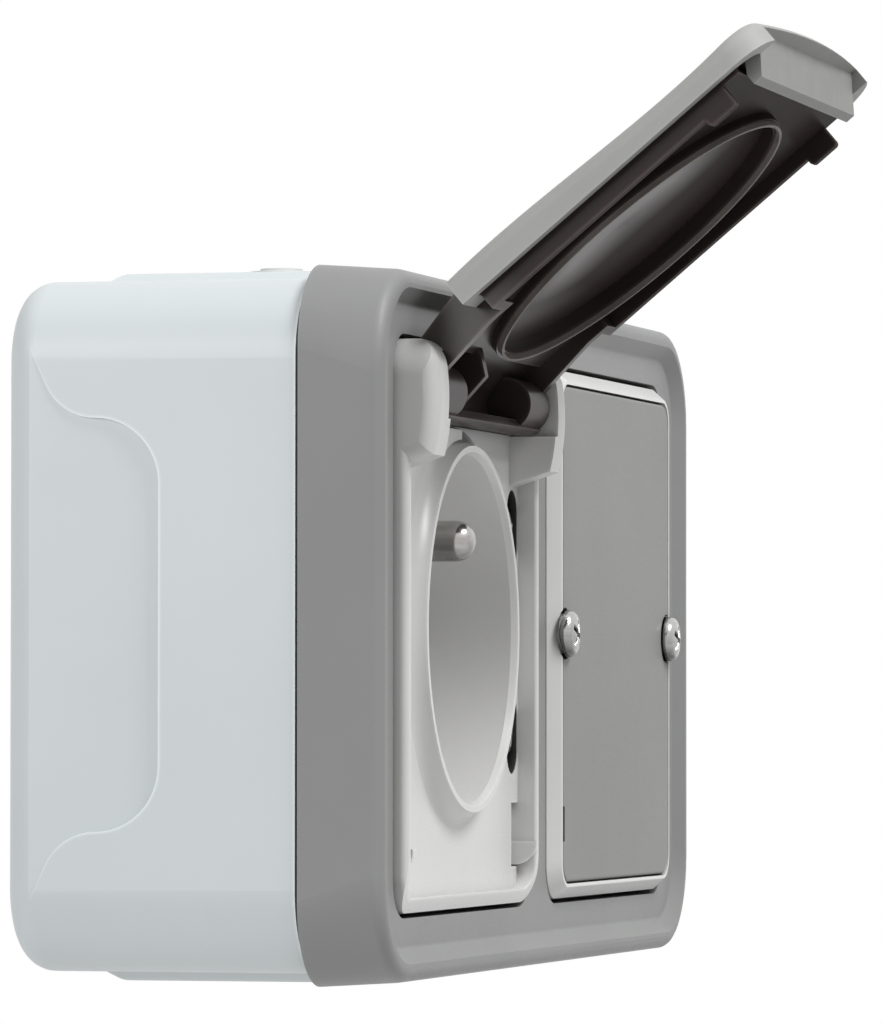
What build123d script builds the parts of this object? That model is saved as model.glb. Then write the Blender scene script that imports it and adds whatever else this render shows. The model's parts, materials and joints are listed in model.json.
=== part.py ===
from build123d import *
import os
from math import cos, radians, sin, tan

os.makedirs("parts", exist_ok=True)

# X runs right seen from the front, Y into the wall and Z up. The wall face is Y = 0,
# and a depth is a distance in front of the wall, so a depth d lies at Y = -d.

# Two features closer than this count as one place
same_place = 0.01

# Gangs and module windows
module_width = 61.4
gang_gap = 9.6
gang_pitch = module_width + gang_gap
socket_x = -gang_pitch / 2
blank_x = gang_pitch / 2
module_height = 65.2
module_corner = 4.2
module_gap = 0.6
window_width = module_width + 2 * module_gap
window_height = module_height + 2 * module_gap
window_corner = module_corner + module_gap

# Back box
end_margin = 10.1
top_margin = 6.1
box_width = gang_pitch + window_width + 2 * end_margin
box_height = window_height + 2 * top_margin
box_depth = 34.4
box_wall = 2.4
box_corner = 9.5
back_round = 3.6
inner_round = 2.0
pad_rise = 1.2
pad_inset = 12.9
pad_width = box_width - 2 * pad_inset
pad_start = 8.1
pad_slope = 56.0
pad_edge = 2.0
recess_start = 2.5
recess_slope = 2.5
recess_depth = 18.4
recess_straight = 15.9
recess_outer_arc = 7.4
recess_inner_arc = 6.5
recess_inner_turn = 65.0
wall_hole_inset_x = 17.9
wall_hole_inset_z = 13.3
wall_hole_x = box_width - 2 * wall_hole_inset_x
wall_hole_z = box_height - 2 * wall_hole_inset_z
wall_hole_r = 2.3
wall_boss_r = 5.2
wall_boss_rise = 1.6
post_r = 4.0
knockout_r = 8.2
knockout_groove = 0.8
knockout_sink = 1.2

# Cable entries
entry_x = 38.0
entry_depth = 21.5
entry_r = 8.2
entry_fit = 0.05
entry_flange = 1.4
entry_flange_thick = 0.8
entry_cone_base_r = 6.6
entry_cone_tip_r = 2.5
entry_cone_rise = 1.9
entry_skin = 1.0

# Front cover
joint_gap = 0.35
cover_overhang = 0.3
cover_wall = 2.2
cover_taper = 3.0
cover_front_corner = 12.5
cover_rise = 8.25
land_depth = box_depth + joint_gap + cover_rise
rim_rise = 1.5
rim_round = 1.6
land_inset = 4.3
land_corner = 8.4
land_draft = 50.0
land_round = 0.6
gasket_inset = 0.9
gasket_width = 1.4

# Window seats
seat_sink = 4.8
seat_depth = land_depth - seat_sink
seat_thick = 2.0
seat_gasket = 0.8
well_margin = 10.3
well_r = module_width / 2 - well_margin
well_wall = 2.0
opening_gap = 1.1
opening_width = 2 * (well_r + well_wall + opening_gap)
seat_ledge = 2.6
opening_height = module_height - 2 * seat_ledge
opening_corner = 4.0
window_wall = 2.0
seat_gasket_inset = 0.4

# Socket module
border_rise = 1.6
border_width = 1.6
border_round = 0.9
border_inner_round = 0.4
floor_sink = 0.8
bottom_sweep = 15.3
bottom_sweep_height = 6.6
border_depth = land_depth + border_rise
well_rim = 0.35
well_rim_r = well_r + well_rim
well_lead = 0.8
well_depth = 15.0
well_floor_depth = border_depth - well_depth
well_floor_thick = 2.0
collar_sink = 0.25
collar_depth = border_depth - collar_sink
collar_crest = 0.7
collar_flare = 2.0
collar_bulge = 0.35
pin_z = 10.3
contact_pitch = 19.0
contact_hole_r = 2.7
slot_inset = 4.3
slot_x = module_width / 2 - slot_inset
slot_z = 12.5
slot_length = 9.4
slot_width = 5.4
slot_floor = 1.4
catch_z = -20.6
catch_height = 7.7
catch_width = 3.2
catch_sink = 1.0
catch_tab_r = 2.8
catch_tab_z = -25.3
catch_tab_thick = 0.9
catch_tab_overlap = 0.2

# Hinge
hinge_rise = 1.2
hinge_depth = land_depth + hinge_rise
hinge_inset = 5.6
hinge_z = module_height / 2 - hinge_inset
lug_width = 5.9
lug_inner = module_width / 2 - lug_width
lug_foot_drop = 9.4
lug_slope = 1.7
lug_reach = 3.9
lug_bow = 0.8
lug_crown = 3.4
lug_toe_round = 2.0
lug_round = 1.8
knuckle_sink = 1.0
trough_r = 3.9
trough_sill_drop = 3.5
trough_top_floor = 1.5
sill_end = 0.8
sill_height = 3.0
sill_gap = 0.3
pivot_r = 1.6
pivot_fit = 0.06
pivot_reach = 3.4

# Socket base and inner parts
base_gap = 0.9
base_width = 2 * (slot_x - post_r - base_gap)
base_height = 40.0
base_corner = 7.0
base_long = 18.6
base_edge = 1.0
shutter_width = 29.0
shutter_height = 8.6
shutter_thick = 2.4
shutter_travel = 6.2
shutter_fit = 0.3
spring_wire = 0.4
spring_r = 1.0
spring_turns = 6.0
spring_length = 11.6
spring_channel = 3.4
sleeve_r = 3.4
sleeve_bore_r = 2.45
sleeve_slit = 0.8
sleeve_fit = 0.1
terminal_size = 8.0
terminal_long = 6.0
terminal_shift = 3.0
terminal_fit = 0.15
earth_terminal_z = 13.4
wire_hole_r = 1.6
terminal_head_r = 2.8
terminal_head_thick = 1.9
earth_pin_r = 2.4
earth_pin_sink = 0.2
earth_pin_tip = border_depth - earth_pin_sink
earth_pin_nose = 2.3
earth_shank_r = 1.9
earth_shank_fit = 0.05

# Screws
screw_r = 1.5
screw_fit = 0.35
screw_thread_fit = 0.05
screw_bite = 14.0
screw_edge = 0.6
cross_long = 3.0
cross_wide = 0.8
cross_deep = 1.0
cross_turn = 45.0
module_head_r = 2.5
module_head_thick = 1.6
plate_head_r = 2.9
plate_head_thick = 1.9
plate_head_round = 1.1
base_screw_inset = 4.1
base_screw_x = base_width / 2 - base_screw_inset
base_screw_z = -14.4
base_head_r = 2.6
base_head_thick = 1.6
base_screw_bite = 4.0
base_boss_r = 2.8
base_boss_long = 6.0
base_boss_fit = 0.15

# Blank module
bevel_width = 1.8
plate_edge_gap = 0.25
plate_rise = 1.6
plate_thick = 2.4
plate_corner = 3.2
plate_edge = 0.4
plate_notch_gap = 0.3
plate_seat_sink = 0.2
plate_screw_inset = 3.1
plate_screw_x = module_width / 2 - plate_screw_inset
pry_z = -23.4
pry_height = 4.3
pry_sink = 1.1

# Lid
lid_open = 130.0
lid_side_gap = 0.2
lid_half_width = module_width / 2 - lid_side_gap
lid_start = 11.0
lid_end_gap = 3.2
lid_end = hinge_z + module_height / 2 - lid_end_gap
lid_end_bow = 1.4
lid_start_n = 6.0
lid_swell_u = 22.0
lid_swell_n = 6.3
lid_waist_inset = 12.4
lid_waist_n = 5.55
lid_end_n = 6.7
lid_skin = 1.8
lid_inner_n = 4.3
lid_flank_n = 2.7
lid_end_corner = 5.0
lid_edge = 1.5
curl_r = 3.5
curl_angle = 177.0
curl_skin = 1.2
arm_gap = 0.4
arm_half_width = lug_inner - arm_gap
arm_wall = 1.5
knuckle_r = 3.2
knuckle_long = 9.5
cheek_toe_n = -0.4
gusset_x = 8.5
gusset_wall = 1.4
gusset_reach = 4.3
gusset_drop = 0.85
gusset_foot_u = 0.5
gusset_foot_drop = 1.35
pull_half_width = 26.0
pull_lip_inset = 3.4
pull_lip_n = 0.6
pull_lip_u = lid_end - pull_lip_inset
pull_top_n = 4.7
pull_top_inset = 0.4
pull_thick = 1.2
pull_cut = 3.4
liner_fit = 0.2
liner_plate = 1.1
liner_plate_n = 2.2
liner_start = 4.8
skirt_wall = 1.4
skirt_n = 0.55
skirt_inset = 7.2
skirt_end = lid_end - skirt_inset
tab_long = 4.0
tab_round = 0.5
tab_drop = 1.0
ring_inset = 0.2
ring_r = well_r - ring_inset
ring_wall = 1.0
ring_n = 1.2
dish_edge_n = 3.0
dish_skin = 0.5
dish_radius = 340.0
seal_inset = 0.32
seal_thick = 0.65


def front(depth, x=0.0, z=0.0):
    # plane parallel to the wall at a depth, facing the front
    return Plane(origin=(x, -depth, z), x_dir=(1, 0, 0), z_dir=(0, -1, 0))


def side(x):
    # upright plane across X: local x is depth and local y is Z
    return Plane(origin=(x, 0, 0), x_dir=(0, -1, 0), z_dir=(-1, 0, 0))


def level(z, x=0.0, depth=0.0):
    # level plane: local x is X and local y is Y
    return Plane(origin=(x, -depth, z), x_dir=(1, 0, 0), z_dir=(0, 0, 1))


cover_back = box_depth + joint_gap
crest_depth = land_depth + rim_rise
module_back = seat_depth + seat_gasket
floor_depth = land_depth - floor_sink
post_depth = seat_depth - seat_thick
pad_z = box_height / 2 + pad_rise
socket_posts = [(socket_x + sx * slot_x, sz * slot_z) for sx in (-1, 1) for sz in (-1, 1)]
blank_posts = [(blank_x + sx * plate_screw_x, 0.0) for sx in (-1, 1)]
posts = socket_posts + blank_posts

# Drafted shape that leaves the outside of the box slowly, going forward from its back edge
with BuildPart() as field_core:
    with BuildSketch(front(recess_start)):
        RectangleRounded(box_width, box_height, box_corner)
    extrude(amount=box_depth, taper=recess_slope)
    with BuildSketch(front(0)):
        Rectangle(2 * box_width, 2 * box_height)
    extrude(amount=recess_start)

# Fields of the two ends: a curved outline, cut down to that drafted shape
with BuildPart() as end_fields:
    reach = recess_depth - recess_outer_arc
    turn_z = recess_straight + recess_outer_arc
    mouth_z = turn_z + recess_inner_arc
    last = radians(270 - recess_inner_turn)
    bend = (reach + recess_inner_arc * cos(last), mouth_z + recess_inner_arc * sin(last))
    run_out = bend[0] / tan(radians(90 - recess_inner_turn))
    with BuildSketch(side(0)):
        with BuildLine():
            Line((recess_depth, 0), (recess_depth, recess_straight))
            CenterArc((reach, recess_straight), recess_outer_arc, 0, 90)
            CenterArc((reach, mouth_z), recess_inner_arc, 270, -recess_inner_turn)
            Line(bend, (0, bend[1] + run_out))
            Line((0, bend[1] + run_out), (0, 0))
            mirror(about=Plane.XZ)
        make_face()
    extrude(amount=box_width, both=True)
    with BuildSketch(front(0)):
        Rectangle(box_width - 2 * back_round, 2 * box_height)
    extrude(amount=box_depth, mode=Mode.SUBTRACT)
    add(field_core.part, mode=Mode.SUBTRACT)

# Raised pads for the cable entries: ramped on three sides and cut square at the joint
with BuildPart() as entry_pads:
    pad_past = 2 * pad_rise * tan(radians(pad_slope))
    with BuildSketch(level(box_height / 2, depth=(pad_start + box_depth + pad_past) / 2)):
        Rectangle(pad_width, box_depth + pad_past - pad_start)
    extrude(amount=pad_rise, taper=pad_slope)
    fillet(entry_pads.faces().sort_by(Axis.Z)[-1].edges(), pad_edge)
    with BuildSketch(front(box_depth)):
        Rectangle(2 * box_width, 2 * box_height)
    extrude(amount=pad_past, mode=Mode.SUBTRACT)
    mirror(about=Plane.XY)

# Back box: a deep tray with rounded back edges and the two pads
with BuildPart() as back_box:
    with BuildSketch(front(0)):
        RectangleRounded(box_width, box_height, box_corner)
    extrude(amount=box_depth)
    fillet(back_box.faces().sort_by(Axis.Y)[-1].edges(), back_round)
    add(entry_pads.part)
    with BuildSketch(front(box_wall)):
        RectangleRounded(box_width - 2 * box_wall, box_height - 2 * box_wall, box_corner - box_wall)
    extrude(amount=box_depth, mode=Mode.SUBTRACT)
    inner_floor = back_box.faces().filter_by(Axis.Y).sort_by(Axis.Y)[-2]
    fillet(inner_floor.edges(), inner_round)
    # scooped field on both ends, deepest at its front
    add(end_fields.part, mode=Mode.SUBTRACT)
    # posts for the module screws
    with BuildSketch(front(box_wall)):
        with Locations(*posts):
            Circle(post_r)
    extrude(amount=post_depth - box_wall)
    with BuildSketch(front(post_depth)):
        with Locations(*posts):
            Circle(screw_r + screw_thread_fit)
    extrude(amount=-(screw_bite + box_wall), mode=Mode.SUBTRACT)
    # fixing holes in raised bosses on the inner floor
    with BuildSketch(front(box_wall)):
        with GridLocations(wall_hole_x, wall_hole_z, 2, 2):
            Circle(wall_boss_r)
    extrude(amount=wall_boss_rise)
    with BuildSketch(front(0)):
        with GridLocations(wall_hole_x, wall_hole_z, 2, 2):
            Circle(wall_hole_r)
    extrude(amount=box_wall + wall_boss_rise, mode=Mode.SUBTRACT)
    # cable entries: open holes above, thinned knock-outs below
    for entry in (-entry_x, entry_x):
        with BuildSketch(level(pad_z, entry, entry_depth)):
            Circle(entry_r)
        extrude(amount=-(pad_rise + 2 * box_wall), mode=Mode.SUBTRACT)
        with BuildSketch(level(-pad_z, entry, entry_depth)):
            Circle(knockout_r)
            Circle(knockout_r - knockout_groove, mode=Mode.SUBTRACT)
        extrude(amount=knockout_sink, mode=Mode.SUBTRACT)
back_box.part.label = "back_box"
export_step(back_box.part, "parts/back_box.step")

# Rubber cable-entry membranes: a grooved grommet with a stepped cone to cut open
with BuildPart() as entry_membranes:
    inner_z = box_height / 2 - box_wall
    for entry in (-entry_x, entry_x):
        axis_plane = Plane(origin=(entry, -entry_depth, 0), x_dir=(1, 0, 0), z_dir=(0, -1, 0))
        with BuildSketch(axis_plane):
            with BuildLine():
                Polyline(
                    (0, pad_z + entry_cone_rise - entry_skin),
                    (0, pad_z + entry_cone_rise),
                    (entry_cone_tip_r, pad_z + entry_cone_rise),
                    (entry_cone_base_r, pad_z + entry_flange_thick),
                    (entry_r + entry_flange, pad_z + entry_flange_thick),
                    (entry_r + entry_flange, pad_z),
                    (entry_r - entry_fit, pad_z),
                    (entry_r - entry_fit, inner_z),
                    (entry_r + entry_flange, inner_z),
                    (entry_r + entry_flange, inner_z - entry_flange_thick),
                    (entry_cone_base_r, inner_z - entry_flange_thick),
                    (entry_cone_base_r - entry_skin, pad_z),
                    (entry_cone_tip_r - entry_skin, pad_z + entry_cone_rise - entry_skin),
                    close=True,
                )
            make_face()
        revolve(axis=Axis((entry, -entry_depth, 0), (0, 0, 1)))
entry_membranes.part.label = "entry_membranes"
export_step(entry_membranes.part, "parts/entry_membranes.step")

# Gasket in the joint between box and cover
with BuildPart() as cover_gasket:
    with BuildSketch(front(box_depth)):
        RectangleRounded(
            box_width - 2 * gasket_inset, box_height - 2 * gasket_inset, box_corner - gasket_inset
        )
        RectangleRounded(
            box_width - 2 * gasket_inset - 2 * gasket_width,
            box_height - 2 * gasket_inset - 2 * gasket_width,
            box_corner - gasket_inset - gasket_width,
            mode=Mode.SUBTRACT,
        )
    extrude(amount=joint_gap)
cover_gasket.part.label = "cover_gasket"
export_step(cover_gasket.part, "parts/cover_gasket.step")

# Front cover: a drafted frame with a raised rim round a flat land and two stepped windows
cover_width = box_width + 2 * cover_overhang
cover_height = 2 * pad_z + 2 * cover_overhang
cover_draw = (crest_depth - cover_back) * tan(radians(cover_taper))
with BuildPart() as front_cover:
    with BuildSketch(front(cover_back)):
        RectangleRounded(cover_width, cover_height, box_corner + cover_overhang)
    with BuildSketch(front(crest_depth)):
        RectangleRounded(cover_width - 2 * cover_draw, cover_height - 2 * cover_draw, cover_front_corner)
    loft()
    fillet(front_cover.faces().sort_by(Axis.Y)[0].edges(), rim_round)
    with BuildSketch(front(land_depth)):
        RectangleRounded(cover_width - 2 * land_inset, cover_height - 2 * land_inset, land_corner)
    extrude(amount=rim_rise, taper=-land_draft, mode=Mode.SUBTRACT)
    land = front_cover.faces().filter_by(Axis.Y).sort_by(lambda f: abs(f.center().Y + land_depth))[0]
    fillet(land.edges(), land_round)
    with BuildSketch(front(cover_back)):
        RectangleRounded(cover_width - 2 * cover_wall, cover_height - 2 * cover_wall, box_corner - cover_wall)
    extrude(amount=land_depth - cover_wall - cover_back, taper=cover_taper, mode=Mode.SUBTRACT)
    for gang in (socket_x, blank_x):
        with BuildSketch(front(post_depth, gang)):
            RectangleRounded(window_width + 2 * window_wall, window_height + 2 * window_wall,
                             window_corner + window_wall)
        extrude(amount=land_depth - post_depth)
        with BuildSketch(front(seat_depth, gang)):
            RectangleRounded(window_width, window_height, window_corner)
        extrude(amount=land_depth, mode=Mode.SUBTRACT)
        with BuildSketch(front(post_depth, gang)):
            RectangleRounded(opening_width, opening_height, opening_corner)
        extrude(amount=land_depth, mode=Mode.SUBTRACT)
    with BuildSketch(front(post_depth)):
        with Locations(*posts):
            Circle(screw_r + screw_fit)
    extrude(amount=seat_thick, mode=Mode.SUBTRACT)
front_cover.part.label = "front_cover"
export_step(front_cover.part, "parts/front_cover.step")


def seat_ring(gang, posts_here):
    # flat gasket on a window seat, with clearance holes for the screws
    with BuildPart() as ring:
        with BuildSketch(front(seat_depth, gang)):
            RectangleRounded(window_width - 2 * seat_gasket_inset, window_height - 2 * seat_gasket_inset,
                             window_corner - seat_gasket_inset)
            RectangleRounded(opening_width, opening_height, opening_corner, mode=Mode.SUBTRACT)
            with Locations(*[(px - gang, pz) for px, pz in posts_here]):
                Circle(screw_r + screw_fit, mode=Mode.SUBTRACT)
        extrude(amount=seat_gasket)
    return ring.part


socket_gasket = seat_ring(socket_x, socket_posts)
socket_gasket.label = "socket_gasket"
export_step(socket_gasket, "parts/socket_gasket.step")

blank_gasket = seat_ring(blank_x, blank_posts)
blank_gasket.label = "blank_gasket"
export_step(blank_gasket, "parts/blank_gasket.step")


def pan_screw(seat, spots, head_r, head_thick, length, facing=1, crown=screw_edge):
    # cross-recess pan heads on a seat depth, shanks running back from them
    with BuildPart() as screws:
        with BuildSketch(front(seat)):
            with Locations(*spots):
                Circle(head_r)
        extrude(amount=facing * head_thick)
        crowns = screws.faces().sort_by(Axis.Y, reverse=facing < 0)[: len(spots)]
        fillet([e for f in crowns for e in f.edges()], crown)
        with BuildSketch(front(seat + facing * head_thick)):
            with Locations(*spots):
                SlotOverall(cross_long, cross_wide, rotation=cross_turn)
                SlotOverall(cross_long, cross_wide, rotation=-cross_turn)
        extrude(amount=-facing * cross_deep, mode=Mode.SUBTRACT)
        with BuildSketch(front(seat)):
            with Locations(*spots):
                Circle(screw_r)
        extrude(amount=-facing * length)
    return screws.part


def plan(x=0.0, z=0.0):
    # level plane: local x is X and local y is depth
    return Plane(origin=(x, 0, z), x_dir=(1, 0, 0), z_dir=(0, 0, -1))


def lug(hand):
    # rounded hinge lug at one side of the socket, stepped back round its pivot hole
    inner = socket_x + hand * lug_inner
    outer_x = socket_x + hand * module_width / 2
    top_z = module_height / 2
    foot_z = hinge_z - lug_foot_drop
    face = hinge_depth + lug_reach
    with BuildPart() as ear:
        with BuildSketch(side(inner)) as profile:
            with BuildLine():
                bow_face = face - lug_bow
                toe_z = foot_z + lug_slope
                Polyline(
                    (bow_face, toe_z),
                    (floor_depth, foot_z),
                    (module_back, foot_z),
                    (module_back, top_z),
                    (bow_face, top_z),
                )
                ThreePointArc((bow_face, toe_z), (face, (toe_z + top_z) / 2), (bow_face, top_z))
            make_face()
            nose = profile.vertices().sort_by(Axis.X)[-2:].sort_by(Axis.Y)
            fillet(nose[1], lug_crown)
            fillet(nose[0], lug_toe_round)
        extrude(amount=-hand * lug_width)
        proud = [e for e in ear.edges() if e.center().Y < -land_depth]
        fillet([e for e in proud if abs(e.center().X - outer_x) < same_place], lug_round)
        with BuildSketch(side(inner)):
            with Locations((module_back + trough_top_floor, hinge_z - trough_sill_drop)):
                Rectangle(2 * trough_r + lug_reach, 2 * trough_r, align=(Align.MIN, Align.MIN))
        extrude(amount=-hand * knuckle_sink, mode=Mode.SUBTRACT)
        with BuildSketch(side(inner)):
            with Locations((hinge_depth, hinge_z)):
                Circle(pivot_r + pivot_fit)
        extrude(amount=-hand * (pivot_reach + pivot_fit), mode=Mode.SUBTRACT)
        with BuildSketch(front(module_back, socket_x)):
            RectangleRounded(module_width, module_height, module_corner)
        extrude(amount=border_depth, mode=Mode.INTERSECT)
    return ear.part


well_back = well_floor_depth - well_floor_thick
base_rear = well_back - base_long
lugs = [lug(-1), lug(1)]
contact_spots = [(-contact_pitch / 2, 0.0), (contact_pitch / 2, 0.0)]
base_screw_spots = [(socket_x - base_screw_x, base_screw_z), (socket_x + base_screw_x, base_screw_z)]

# Socket front: bordered plate, collar and well, hinge lugs and the trough between them
with BuildPart() as socket_front:
    with BuildSketch(front(module_back, socket_x)):
        RectangleRounded(module_width, module_height, module_corner)
    extrude(amount=border_depth - module_back)
    fillet(socket_front.faces().sort_by(Axis.Y)[0].edges(), border_round)
    with BuildSketch(front(floor_depth, socket_x)):
        RectangleRounded(module_width - 2 * border_width, module_height - 2 * border_width,
                         module_corner - border_width)
    extrude(amount=border_rise + floor_sink, mode=Mode.SUBTRACT)
    border_crest = socket_front.faces().sort_by(Axis.Y)[0]
    fillet(border_crest.inner_wires()[0].edges(), border_inner_round)
    sweep_z = bottom_sweep_height - module_height / 2
    with BuildSketch(side(socket_x)):
        with Locations((border_depth, sweep_z - bottom_sweep / 2)):
            Rectangle(2 * bottom_sweep_height, bottom_sweep)
        with Locations((border_depth - bottom_sweep, sweep_z)):
            Circle(bottom_sweep, mode=Mode.SUBTRACT)
    extrude(amount=module_width, both=True, mode=Mode.SUBTRACT)
    with BuildSketch(plan(socket_x)):
        with BuildLine():
            crest_r = well_rim_r + collar_crest
            Polyline(
                (crest_r + collar_flare, floor_depth),
                (well_r, floor_depth),
                (well_r, collar_depth),
                (crest_r, collar_depth),
            )
            SagittaArc((crest_r, collar_depth), (crest_r + collar_flare, floor_depth), -collar_bulge)
        make_face()
    revolve(axis=Axis((socket_x, 0, 0), (0, -1, 0)))
    with BuildSketch(front(well_back, socket_x)):
        Circle(well_r + well_wall)
    extrude(amount=floor_depth - well_back)
    with BuildSketch(plan(socket_x)):
        with BuildLine():
            Polyline(
                (0, well_floor_depth),
                (well_r, well_floor_depth),
                (well_r, collar_depth - well_lead),
                (well_rim_r, collar_depth),
                (0, collar_depth),
                close=True,
            )
        make_face()
    revolve(axis=Axis((socket_x, 0, 0), (0, -1, 0)), mode=Mode.SUBTRACT)
    # sill block on one half of the collar, and the trough for the lid's barrel, open at the top edge
    with BuildSketch(front(floor_depth, socket_x)):
        with Locations((-sill_end, hinge_z - trough_sill_drop)):
            Rectangle(lug_inner - sill_end, sill_height, align=(Align.MAX, Align.MAX))
        Circle(well_rim_r + collar_crest, mode=Mode.SUBTRACT)
    extrude(amount=hinge_depth - gusset_drop - sill_gap - floor_depth)
    with BuildSketch(side(socket_x)):
        with Locations((hinge_depth, hinge_z)):
            Circle(trough_r)
        with Locations((module_back + trough_top_floor, hinge_z)):
            Rectangle(3 * trough_r, 3 * trough_r, align=(Align.MIN, Align.MIN))
        with Locations((hinge_depth, hinge_z - trough_sill_drop)):
            Rectangle(2 * trough_r, 2 * trough_r, align=(Align.MIN, Align.MIN))
    extrude(amount=lug_inner, both=True, mode=Mode.SUBTRACT)
    add(lugs)
    # contact holes, earth pin hole and screw slots
    with BuildSketch(front(well_back, socket_x)):
        with Locations(*contact_spots):
            Circle(contact_hole_r)
        with Locations((0, pin_z)):
            Circle(earth_shank_r + earth_shank_fit)
    extrude(amount=well_floor_thick, mode=Mode.SUBTRACT)
    with BuildSketch(front(module_back + slot_floor, socket_x)):
        with GridLocations(2 * slot_x, 2 * slot_z, 2, 2):
            SlotOverall(slot_length, slot_width, rotation=90)
    extrude(amount=floor_depth - module_back, mode=Mode.SUBTRACT)
    with BuildSketch(front(module_back, socket_x)):
        with GridLocations(2 * slot_x, 2 * slot_z, 2, 2):
            Circle(screw_r + screw_fit)
    extrude(amount=slot_floor, mode=Mode.SUBTRACT)
    # latch pockets with a rounded catch beside the border
    catch_x = module_width / 2 - border_width
    for hand in (-1, 1):
        with BuildSketch(front(floor_depth, socket_x)):
            with Locations((hand * (catch_x - catch_width / 2), catch_z - catch_height / 2)):
                Rectangle(catch_width, catch_height)
        extrude(amount=-catch_sink, mode=Mode.SUBTRACT)
        with BuildSketch(side(socket_x + hand * catch_x)):
            with Locations((floor_depth - catch_tab_overlap, catch_tab_z)):
                Circle(catch_tab_r)
                Rectangle(2 * catch_tab_r, 2 * catch_tab_r,
                          align=(Align.CENTER, Align.MIN), mode=Mode.SUBTRACT)
            with Locations((floor_depth - catch_sink, catch_tab_z)):
                Rectangle(2 * catch_tab_r, 4 * catch_tab_r,
                          align=(Align.MAX, Align.CENTER), mode=Mode.SUBTRACT)
        extrude(amount=hand * catch_tab_thick)
    # bosses behind the well for the base screws
    with BuildSketch(front(well_back, socket_x)):
        with Locations((-base_screw_x, base_screw_z), (base_screw_x, base_screw_z)):
            Circle(base_boss_r)
    extrude(amount=-base_boss_long)
    with BuildSketch(front(well_back - base_boss_long, socket_x)):
        with Locations((-base_screw_x, base_screw_z), (base_screw_x, base_screw_z)):
            Circle(screw_r + screw_thread_fit)
    extrude(amount=base_boss_long, mode=Mode.SUBTRACT)
socket_front.part.label = "socket_front"
export_step(socket_front.part, "parts/socket_front.step")

socket_screw_length = module_back + slot_floor - post_depth + screw_bite
socket_fixing_screws = pan_screw(module_back + slot_floor, socket_posts, module_head_r, module_head_thick,
                                 socket_screw_length)
socket_fixing_screws.label = "socket_fixing_screws"
export_step(socket_fixing_screws, "parts/socket_fixing_screws.step")

# Socket base: insulating body behind the well, with rooms for contacts, terminals and shutter
pocket_depth = shutter_thick + 2 * shutter_fit
pocket_floor = well_back - pocket_depth
pocket_top = shutter_height / 2 + shutter_fit
pocket_bottom = -(shutter_height / 2 + shutter_travel + shutter_fit)
channel_bottom = -(shutter_height / 2 + spring_length)
terminal_front = base_rear + terminal_long
terminal_spots = [(-contact_pitch / 2 - terminal_shift, 0.0), (contact_pitch / 2 + terminal_shift, 0.0),
                  (0.0, earth_terminal_z)]
with BuildPart() as socket_base:
    with BuildSketch(front(base_rear, socket_x)):
        RectangleRounded(base_width, base_height, base_corner)
    extrude(amount=well_back - base_rear)
    chamfer(socket_base.faces().sort_by(Axis.Y)[-1].edges(), base_edge)
    with BuildSketch(front(pocket_floor, socket_x)):
        with Locations((0, pocket_top)):
            Rectangle(shutter_width + 2 * shutter_fit, pocket_top - pocket_bottom,
                      align=(Align.CENTER, Align.MAX))
            Rectangle(spring_channel, pocket_top - channel_bottom, align=(Align.CENTER, Align.MAX))
    extrude(amount=pocket_depth, mode=Mode.SUBTRACT)
    with BuildSketch(front(terminal_front, socket_x)):
        with Locations(*contact_spots):
            Circle(sleeve_r + sleeve_fit)
    extrude(amount=pocket_floor - terminal_front, mode=Mode.SUBTRACT)
    with BuildSketch(front(terminal_front, socket_x)):
        with Locations((0, pin_z)):
            Circle(earth_shank_r + earth_shank_fit)
    extrude(amount=well_back - terminal_front, mode=Mode.SUBTRACT)
    with BuildSketch(front(base_rear, socket_x)):
        with Locations(*terminal_spots):
            Rectangle(terminal_size + 2 * terminal_fit, terminal_size + 2 * terminal_fit)
    extrude(amount=terminal_long, mode=Mode.SUBTRACT)
    with BuildSketch(front(well_back, socket_x)):
        with Locations((-base_screw_x, base_screw_z), (base_screw_x, base_screw_z)):
            Circle(base_boss_r + base_boss_fit)
    extrude(amount=-base_boss_long, mode=Mode.SUBTRACT)
    with BuildSketch(front(base_rear, socket_x)):
        with Locations((-base_screw_x, base_screw_z), (base_screw_x, base_screw_z)):
            Circle(screw_r + screw_fit)
    extrude(amount=well_back - base_rear - base_boss_long, mode=Mode.SUBTRACT)
    # wire ways from the terminal rooms to the edges of the base
    for spot_x, spot_z in terminal_spots:
        way = -1 if spot_z == 0 else 1
        with BuildSketch(level(spot_z, socket_x + spot_x, base_rear + terminal_long / 2)):
            Circle(wire_hole_r)
        extrude(amount=way * base_height, mode=Mode.SUBTRACT)
socket_base.part.label = "socket_base"
export_step(socket_base.part, "parts/socket_base.step")

base_screws = pan_screw(base_rear, base_screw_spots, base_head_r, base_head_thick,
                        well_back - base_rear - base_boss_long + base_screw_bite, facing=-1)
base_screws.label = "base_screws"
export_step(base_screws, "parts/base_screws.step")


def terminal_block(spot):
    # square brass block with a wire hole across it and a threaded hole from behind
    spot_x, spot_z = spot
    with BuildPart() as block:
        with BuildSketch(front(base_rear, socket_x)):
            with Locations(spot):
                Rectangle(terminal_size, terminal_size)
        extrude(amount=terminal_long)
        with BuildSketch(level(spot_z, socket_x + spot_x, base_rear + terminal_long / 2)):
            Circle(wire_hole_r)
        extrude(amount=terminal_size, both=True, mode=Mode.SUBTRACT)
        with BuildSketch(front(base_rear, socket_x)):
            with Locations(spot):
                Circle(screw_r + screw_thread_fit)
        extrude(amount=terminal_long / 2, mode=Mode.SUBTRACT)
    return block.part


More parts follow.
